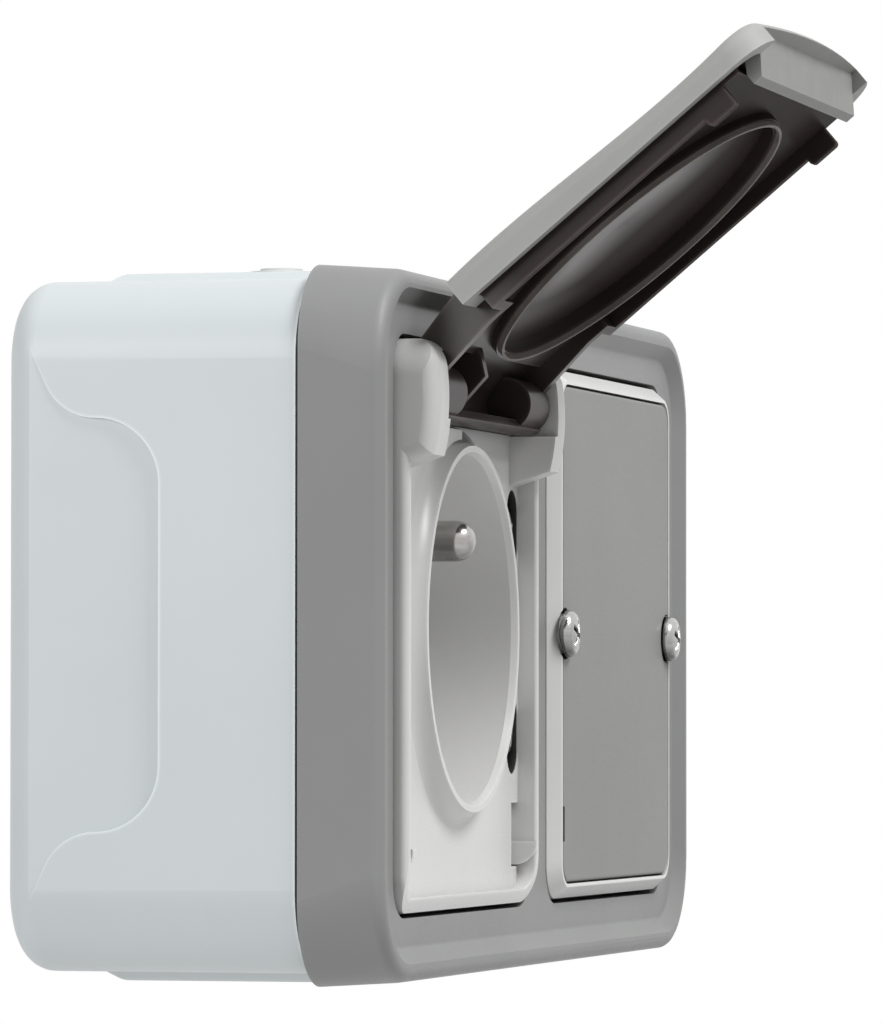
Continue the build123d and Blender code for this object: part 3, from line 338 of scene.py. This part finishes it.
def makeFinish(name, values):
    material = bpy.data.materials.new(name)
    material.use_nodes = True
    tree = material.node_tree
    link = tree.links.new
    shader = tree.nodes["Principled BSDF"]
    skin = addNode(tree, "ShaderNodeGroup", node_tree=skinGroups[values["skin"]])
    paintedLight = addNode(tree, "ShaderNodeGroup", node_tree=paintedLightGroup)
    for group in (skin, paintedLight):
        for key in values.keys() & group.inputs.keys():
            value = values[key]
            group.inputs[key].default_value = (*value, 1.0) if isinstance(value, tuple) else value
    if values["skin"] == "plated":
        link(skin.outputs["Underside Shade"], paintedLight.inputs["Underside Shade"])
        shader.inputs["Metallic"].default_value = 1.0
    else:
        shader.inputs["Specular IOR Level"].default_value = values["specular"]
    link(skin.outputs["Colour"], paintedLight.inputs["Colour"])
    link(paintedLight.outputs["Colour"], shader.inputs["Base Color"])
    link(skin.outputs["Roughness"], shader.inputs["Roughness"])
    bump = addNode(tree, "ShaderNodeBump")
    bump.inputs["Strength"].default_value = values["bump"]
    bump.inputs["Distance"].default_value = values["bumpDistance"]
    link(skin.outputs["Height"], bump.inputs["Height"])
    link(bump.outputs["Normal"], shader.inputs["Normal"])
    return material


materials = {name: makeFinish(name, {**finishShared, **values}) for name, values in finishes.items()}

# the open lid's own axes from its hinge, along it and outwards
jointOf = {joint["name"]: joint for joint in frame["record"]["behaviour"]["joints"]}
lidHinge = Vector(jointOf["lid_hinge"]["pos_m"])
lidTilt = radians(jointOf["lid_hinge"]["range_deg"][1] - 90)
lidAlong = Vector((0, -cos(lidTilt), sin(lidTilt)))
lidOutward = Vector((0, sin(lidTilt), cos(lidTilt)))

# the liner is polished in the left of its dish and around the hinge, and textured elsewhere, and its coat is
# partly a painted sheen kept to the dish's left and the arms: coat weight falls with the distance from the
# dish's middle, towards its right side and from the hinge
linerPaintedSheen = {
    "dishUp": 27.0,
    "dishSpan": (9.0, 21.0),
    "sideSpan": (-4.0, 8.0),
    "dishCoat": 1.0,
    "barrelSpan": (3.4, 6.0),
    "barrelShare": 0.6,
    "armSpan": (6.0, 18.0),
    "armCoat": 0.95,
    "plainCoat": 0.16,
    "coatRoughness": 0.30,
}


def paintLinerSheen(material, values):
    tree = material.node_tree
    link = tree.links.new
    shader = tree.nodes["Principled BSDF"]
    place = objectPlace(tree)

    def awayFrom(spot, axes):
        away = addNode(tree, "ShaderNodeVectorMath", operation="SUBTRACT")
        link(place, away.inputs[0])
        away.inputs[1].default_value = spot
        chosen = addNode(tree, "ShaderNodeVectorMath", operation="MULTIPLY")
        link(away.outputs[0], chosen.inputs[0])
        chosen.inputs[1].default_value = axes
        length = addNode(tree, "ShaderNodeVectorMath", operation="LENGTH")
        link(chosen.outputs[0], length.inputs[0])
        return chosen.outputs[0], length.outputs["Value"]

    def fall(distance, label, near, far):
        span = tuple(limit * mm for limit in values[label])
        return addRange(tree, distance, span, near, far)

    offset, fromDish = awayFrom(lidHinge + lidAlong * values["dishUp"] * mm, (1, 1, 1))
    fromHinge = awayFrom(lidHinge, (0, 1, 1))[1]
    side = addNode(tree, "ShaderNodeSeparateXYZ")
    link(offset, side.inputs[0])
    dish = addMath(tree, "MULTIPLY", fall(fromDish, "dishSpan", 1.0, 0.0),
                   fall(side.outputs["X"], "sideSpan", values["dishCoat"], 0.0))
    arms = addMath(tree, "MULTIPLY", fall(fromHinge, "armSpan", values["armCoat"], values["plainCoat"]),
                   fall(fromHinge, "barrelSpan", values["barrelShare"], 1.0))
    link(addMath(tree, "MAXIMUM", dish, arms), shader.inputs["Coat Weight"])
    shader.inputs["Coat Roughness"].default_value = values["coatRoughness"]


# painted shade on the pull: a box in the open lid's own axes, along it, outwards and across it, holds the
# sloped panel, which turns darker, and slow patches thin the painted shade there
pullShade = {
    "start": 51.5,
    "top": 4.75,
    "halfWidth": 26.2,
    "soft": 0.3,
    "patchScale": 220.0,
    "patchDetail": 3.0,
    "patchSpan": (0.3, 0.7),
    "least": 0.28,
    "most": 0.34,
}


def paintPullShade(material, values):
    tree = material.node_tree
    place = objectPlace(tree)
    across = Vector((1, 0, 0))
    half = values["halfWidth"]
    patch = addNoise(tree, place, values["patchScale"], values["patchDetail"])
    mask = addRange(tree, patch, values["patchSpan"], values["least"], values["most"])
    # each side of the box: its axis, its distance from the hinge and the way out of the box
    sides = [(lidAlong, values["start"], -1), (lidOutward, values["top"], 1), (across, -half, -1),
             (across, half, 1)]
    for axis, limit, outer in sides:
        away = addNode(tree, "ShaderNodeVectorMath", operation="DOT_PRODUCT")
        tree.links.new(place, away.inputs[0])
        away.inputs[1].default_value = axis
        edge = lidHinge.dot(axis) + limit * mm
        span = (edge, edge + outer * values["soft"] * mm)
        mask = addMath(tree, "MULTIPLY", mask, addRange(tree, away.outputs["Value"], span, 1.0, 0.0))
    # painted shade mixed towards black over the panel
    colour = tree.nodes["Principled BSDF"].inputs["Base Color"]
    unshaded = colour.links[0].from_socket
    tree.links.new(addMix(tree, mask, unshaded, black), colour)


paintLinerSheen(materials["liner_plastic"], linerPaintedSheen)
paintPullShade(materials["lid_plastic"], pullShade)
slotOf = {row["node"]: row["material_slot"] for row in frame["record"]["subparts"]}
for node, thing in frame["nodes"].items():
    thing.data.materials.clear()
    thing.data.materials.append(materials[slotOf[node]])
print("finishes made:", len(materials))


# pieces: grids of points closed around their second side, and along the first either closed as a
# ring or capped at both ends, in one mesh
def putGrids(name, grids, slot, body, ring=False):
    rows, count = grids[0].shape[:2]
    ids = np.arange(rows * count).reshape(rows, count)
    down = np.concatenate([ids, ids[:1]]) if ring else ids
    after = np.roll(down, -1, axis=1)
    quads = np.stack([down[:-1], down[1:], after[1:], after[:-1]], axis=-1).reshape(-1, 4)
    caps = [] if ring else [ids[0], ids[-1, ::-1]]
    faces = []
    for row in range(len(grids)):
        shift = row * rows * count
        faces += [(face + shift).tolist() for face in (*quads, *caps)]
    mesh = bpy.data.meshes.new(name)
    mesh.from_pydata(np.concatenate([grid.reshape(-1, 3) for grid in grids]).tolist(), [], faces)
    mesh.polygons.foreach_set("use_smooth", np.ones(len(faces), dtype=bool))
    mesh.update()
    mesh.materials.append(materials[slot])
    piece = bpy.data.objects.new(name, mesh)
    scene.collection.objects.link(piece)
    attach(piece, body)
    return piece


# angles of one full turn as a row, and three sides joined to a grid of points in metres
def fullTurn(count):
    return np.linspace(0, 2 * np.pi, count, endpoint=False)[None, :]


def joinGrid(*sides):
    return np.stack(np.broadcast_arrays(*sides), axis=-1) * mm


def boxOf(node):
    return (np.array(corner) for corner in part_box(node))


# screws: a profile of radius and height goes around the axis; the crown is a flat-topped dome less
# a four-winged recess, and the shank's radius follows a saw-tooth of height over pitch less angle
screwSets = [
    {"name": "plateScrews", "node": "blank_plate_screws", "rows": 1, "head": 2.9, "thick": 1.9,
     "dome": 0.55, "round": 0.85, "wing": 1.75, "slit": 0.36, "sink": 1.05, "turn": 62.0},
    {"name": "moduleScrews", "node": "socket_fixing_screws", "rows": 2, "head": 2.5, "thick": 1.6,
     "dome": 0.45, "round": 0.7, "wing": 1.5, "slit": 0.32, "sink": 0.9, "turn": 20.0},
]
screwShared = {
    "around": 96,
    "crownRows": 40,
    "browRows": 12,
    "browFrom": 6.0,
    "browFoot": 0.35,
    "axisGap": 0.01,
    "shank": 1.5,
    "shankRows": 110,
    "shankStart": 0.02,
    "neck": 0.1,
    "thread": 0.32,
    "pitch": 1.25,
    "ridgeSlope": 3.0,
    "ridgeFlat": 0.3,
    "runOut": 0.6,
    "runOutLong": 1.0,
    "tipLong": 2.0,
    "tipLeast": 0.15,
    "slitSoft": 0.12,
    "sinkTaper": 1.15,
    "sinkLeast": 0.25,
    "recessFrom": 0.3,
}


def screwGrid(values, length):
    head, thick, edge, shank = (values[key] for key in ("head", "thick", "round", "shank"))
    angle = fullTurn(values["around"])
    flat = np.linspace(values["axisGap"], head - edge, values["crownRows"])
    crown = thick - values["dome"] * (flat / head) ** 2
    bend = np.radians(np.linspace(values["browFrom"], 90, values["browRows"]))
    foot = values["browFoot"]
    brow = crown[-1] * (foot + (1 - foot) * np.cos(bend))
    down = -np.linspace(values["shankStart"], length, values["shankRows"])
    radius = np.concatenate([flat, head - edge + edge * np.sin(bend), [head, shank + values["neck"]],
                             np.full(down.size, shank)])[:, None]
    height = np.concatenate([crown, brow, [0.0, 0.0], down])[:, None]
    # recess: two crossed slits with sloping sides, deepest in the middle
    turned = angle - np.radians(values["turn"])
    across, along = np.abs(radius * np.cos(turned)), np.abs(radius * np.sin(turned))

    def within(limit, distance):
        return np.clip((limit - distance) / values["slitSoft"], 0, 1)

    wing, slit = values["wing"], values["slit"]
    cross = np.maximum(within(slit, across) * within(wing, along), within(slit, along) * within(wing, across))
    sink = cross * values["sink"] * np.clip(values["sinkTaper"] - radius / wing, values["sinkLeast"], 1)
    shaped = height - np.where(height > values["recessFrom"] * thick, sink, 0)
    # thread: radius lost between the turns, running out under the head and at the tip
    turnAt = np.mod(height / values["pitch"] - angle / (2 * np.pi), 1)
    ridge = np.abs(turnAt - 0.5) * values["ridgeSlope"] - values["ridgeFlat"]
    fade = np.clip((-height - values["runOut"]) / values["runOutLong"], 0, 1)
    tip = np.clip((length + height) / values["tipLong"], values["tipLeast"], 1)
    threaded = (radius - np.clip(ridge, 0, 1) * values["thread"] * fade) * tip
    worn = np.where(height < 0, threaded, radius)
    return joinGrid(worn * np.cos(angle), -shaped, worn * np.sin(angle))


for values in screwSets:
    low, high = boxOf(values["node"])
    head = values["head"] * mm
    seat = low[1] + values["thick"] * mm
    single = screwGrid({**screwShared, **values}, (high[1] - seat) / mm)
    heights = [(low[2] + high[2]) / 2] if values["rows"] == 1 else [low[2] + head, high[2] - head]
    spots = [(x, seat, z) for x in (low[0] + head, high[0] - head) for z in heights]
    grids = [single + np.array(spot) for spot in spots]
    screws = putGrids(values["name"], grids, slotOf[values["node"]], "housing")
    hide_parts(values["node"])
print("screws made:", len(screwSets))

# cable membranes: a stepped cone with a dimple; the profile is sampled evenly, its corners are
# softened by averaging neighbours, and it goes around an upright axis
membraneRings = {
    "node": "entry_membranes",
    "bore": 8.15,
    "flange": 9.6,
    "flangeThick": 0.8,
    "coneBase": 6.6,
    "coneTip": 2.5,
    "coneRise": 1.9,
    "skin": 1.0,
    "steps": 3,
    "dimple": 1.2,
    "dimpleFloor": 0.48,
    "dimpleSink": 0.3,
    "axisGap": 0.02,
    "samples": 260,
    "around": 96,
}


def membraneGrid(values, top, bottom):
    axis, bore, flange, skin = (values[key] for key in ("axisGap", "bore", "flange", "skin"))
    coneBase, coneTip, thick = (values[key] for key in ("coneBase", "coneTip", "flangeThick"))
    lip = top - values["coneRise"]
    under = bottom + thick
    hollow = top - values["dimpleSink"]
    edges = np.linspace(coneBase, coneTip, values["steps"] + 1)
    rises = np.interp(edges, [coneTip, coneBase], [top, lip + thick])
    # each terrace keeps the height of its outer edge, so the steps lie under the cone's line
    terraces = [spot for edge, after, rise in zip(edges[:-1], edges[1:], rises)
                for spot in ((edge, rise), (after, rise))]
    corners = np.array([
        (axis, top - skin), (coneTip - skin, top - skin), (coneBase - skin, lip), (coneBase, bottom),
        (flange, bottom), (flange, under), (bore, under), (bore, lip), (flange, lip), (flange, lip + thick),
        *terraces, (coneTip, top), (values["dimple"], top), (values["dimpleFloor"], hollow), (axis, hollow),
    ])
    run = np.concatenate([[0], np.cumsum(np.linalg.norm(np.diff(corners, axis=0), axis=1))])
    even = np.linspace(0, run[-1], values["samples"])
    radius, height = (np.interp(even, run, corners[:, side]) for side in (0, 1))
    for line in (radius, height):
        line[1:-1] = (line[:-2] + 2 * line[1:-1] + line[2:]) / 4
    angle = fullTurn(values["around"])
    radius, height = radius[:, None], height[:, None]
    return joinGrid(radius * np.cos(angle), radius * np.sin(angle), height)


low, high = boxOf(membraneRings["node"])
single = membraneGrid(membraneRings, high[2] / mm, low[2] / mm)
reach = membraneRings["flange"] * mm
spots = [(x, (low[1] + high[1]) / 2, 0) for x in (low[0] + reach, high[0] - reach)]
membranes = putGrids("entryRings", [single + np.array(spot) for spot in spots],
                     slotOf[membraneRings["node"]], "housing")
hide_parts(membraneRings["node"])
print("membranes made:", len(spots))

# dark rubber sleeves in the four fixing slots stand in for the shade inside them, as painted shade: a thin
# wall's section goes around a slot outline, which is a circle pulled apart along the height
slotShadeSleeves = {
    "length": 9.4,
    "outer": 2.66,
    "inner": 2.53,
    "play": 0.04,
    "floor": 40.45,
    "top": 42.05,
    "lip": 0.06,
    "halfTurn": 25,
}


def shadeSleeveGrid(values):
    half = np.linspace(0, np.pi, values["halfTurn"])
    angle = np.concatenate([half, half + np.pi])[None, :]
    pull = values["length"] / 2 - values["outer"] - values["play"]
    lift = np.repeat([pull, -pull], half.size)[None, :]
    inner, outer, floor, top = (values[key] for key in ("inner", "outer", "floor", "top"))
    brim = top - values["lip"]
    wall = [(inner, floor), (inner, brim), ((inner + outer) / 2, top), (outer, brim), (outer, floor)]
    radius, depth = (np.array(side)[:, None] for side in zip(*wall))
    return joinGrid(radius * np.cos(angle), -depth, radius * np.sin(angle) + lift)


low, high = boxOf("socket_fixing_screws")
head = screwSets[1]["head"] * mm
single = shadeSleeveGrid(slotShadeSleeves)
spots = [(x, 0, z) for x in (low[0] + head, high[0] - head) for z in (low[2] + head, high[2] - head)]
putGrids("slotShadeSleeves", [single + np.array(spot) for spot in spots], "dark_rubber", "housing", ring=True)
print("sleeves made:", len(spots))

# shutter spring: a wire's circle goes along a helix whose pitch is half as wide at both ends; the
# shutter presses it down onto the floor of its channel
shutterCoil = {
    "wire": 0.2,
    "turns": 7.0,
    "endPitch": 0.5,
    "travel": 6.2,
    "pointsPerTurn": 28,
    "around": 12,
}


def coilGrid(values, low, high):
    middle = (low + high) / 2
    wire, endPitch = values["wire"], values["endPitch"]
    radius = (high[0] - low[0]) / 2 - wire
    share = np.linspace(0, 1, int(values["turns"] * values["pointsPerTurn"]))[:, None]
    rise = (1 - endPitch) * (3 * share**2 - 2 * share**3) + endPitch * share
    turn = 2 * np.pi * values["turns"] * share
    path = np.concatenate([middle[0] + radius * np.cos(turn), middle[1] + radius * np.sin(turn),
                           low[2] + wire + (high[2] - low[2] - 2 * wire) * rise], axis=1)
    ahead = np.gradient(path, axis=0)
    ahead /= np.linalg.norm(ahead, axis=1, keepdims=True)
    outward = np.concatenate([np.cos(turn), np.sin(turn), np.zeros_like(turn)], axis=1)
    across = np.cross(outward, ahead)
    around = fullTurn(values["around"])[..., None]
    circle = wire * (np.cos(around) * outward[:, None] + np.sin(around) * across[:, None])
    return (path[:, None] + circle) * mm


low, high = (corner / mm for corner in boxOf("shutter_spring"))
spring = putGrids("shutterCoil", [coilGrid(shutterCoil, low, high)], slotOf["shutter_spring"], "housing")
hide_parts("shutter_spring")
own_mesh(spring)
print("spring made:", shutterCoil["turns"], "turns")

# studio: a pale floor under the object, soft lamps, and a white background for the camera
studio = {
    "floorDrop": 0.30,
    "floorReach": 1.4,
    "floorHub": 0.02,
    "floorRings": 12,
    "floorAround": 96,
    "floorTone": (0.70, 0.70, 0.70, 1),
    "floorRoughness": 0.9,
    "floorGlow": 0.45,
    "ambient": 0.24,
    "lamps": [
        {"name": "keyLamp", "spot": (-0.15, -0.80, 1.00), "size": 0.6, "power": 14.4},
        {"name": "sideLamp", "spot": (-1.15, 0.45, 0.35), "size": 0.7, "power": 6.9},
    ],
}


def seenRays(tree):
    # camera, glossy and transmitted rays
    path = addNode(tree, "ShaderNodeLightPath")
    glossy = addMath(tree, "MAXIMUM", path.outputs["Is Camera Ray"], path.outputs["Is Glossy Ray"])
    return addMath(tree, "MAXIMUM", glossy, path.outputs["Is Transmission Ray"])


def makeWorld(setup):
    # seen rays find white; the object is lit by the weaker ambient light
    world = bpy.data.worlds.new("studioWorld")
    world.use_nodes = True
    tree = world.node_tree
    link = tree.links.new
    ambient = tree.nodes["Background"]
    ambient.inputs["Color"].default_value = white
    ambient.inputs["Strength"].default_value = setup["ambient"]
    backdrop = addNode(tree, "ShaderNodeBackground")
    backdrop.inputs["Color"].default_value = white
    mix = addNode(tree, "ShaderNodeMixShader")
    link(seenRays(tree), mix.inputs["Fac"])
    link(ambient.outputs[0], mix.inputs[1])
    link(backdrop.outputs[0], mix.inputs[2])
    link(mix.outputs[0], tree.nodes["World Output"].inputs["Surface"])
    scene.world = world


def makeFloor(setup):
    # disc: angle along one grid side, radius along the other
    angle = fullTurn(setup["floorAround"]).T
    reach = setup["floorReach"] * np.linspace(setup["floorHub"], 1, setup["floorRings"])[None, :]
    level = cadLow.z - setup["floorDrop"]
    spots = np.stack(np.broadcast_arrays(reach * np.cos(angle), reach * np.sin(angle), level), axis=-1)
    ids = np.arange(angle.size * reach.size).reshape(angle.size, reach.size)
    after = np.roll(ids, -1, axis=0)
    quads = np.stack([ids[:, :-1], ids[:, 1:], after[:, 1:], after[:, :-1]], axis=-1).reshape(-1, 4)
    mesh = bpy.data.meshes.new("floor")
    mesh.from_pydata(spots.reshape(-1, 3).tolist(), [], [*quads.tolist(), ids[:, 0].tolist()])
    mesh.update()
    floor = bpy.data.objects.new("floor", mesh)
    scene.collection.objects.link(floor)
    material = bpy.data.materials.new("paleFloor")
    material.use_nodes = True
    tree = material.node_tree
    shader = tree.nodes["Principled BSDF"]
    shader.inputs["Base Color"].default_value = setup["floorTone"]
    shader.inputs["Roughness"].default_value = setup["floorRoughness"]
    # seen rays find the floor paler than the light it gives back to the object
    shader.inputs["Emission Color"].default_value = white
    glow = addMath(tree, "MULTIPLY", seenRays(tree), setup["floorGlow"])
    tree.links.new(glow, shader.inputs["Emission Strength"])
    mesh.materials.append(material)


def makeLamps(setup):
    aim = (cadLow + cadHigh) / 2
    for lamp in setup["lamps"]:
        data = bpy.data.lights.new(lamp["name"], "AREA")
        data.shape = "DISK"
        data.size = lamp["size"]
        data.energy = lamp["power"]
        thing = bpy.data.objects.new(lamp["name"], data)
        spot = Vector(lamp["spot"])
        turn = (aim - spot).to_track_quat("-Z", "Y").to_matrix().to_4x4()
        thing.matrix_world = Matrix.Translation(spot) @ turn
        scene.collection.objects.link(thing)


makeWorld(studio)
makeFloor(studio)
makeLamps(studio)
print("studio set")
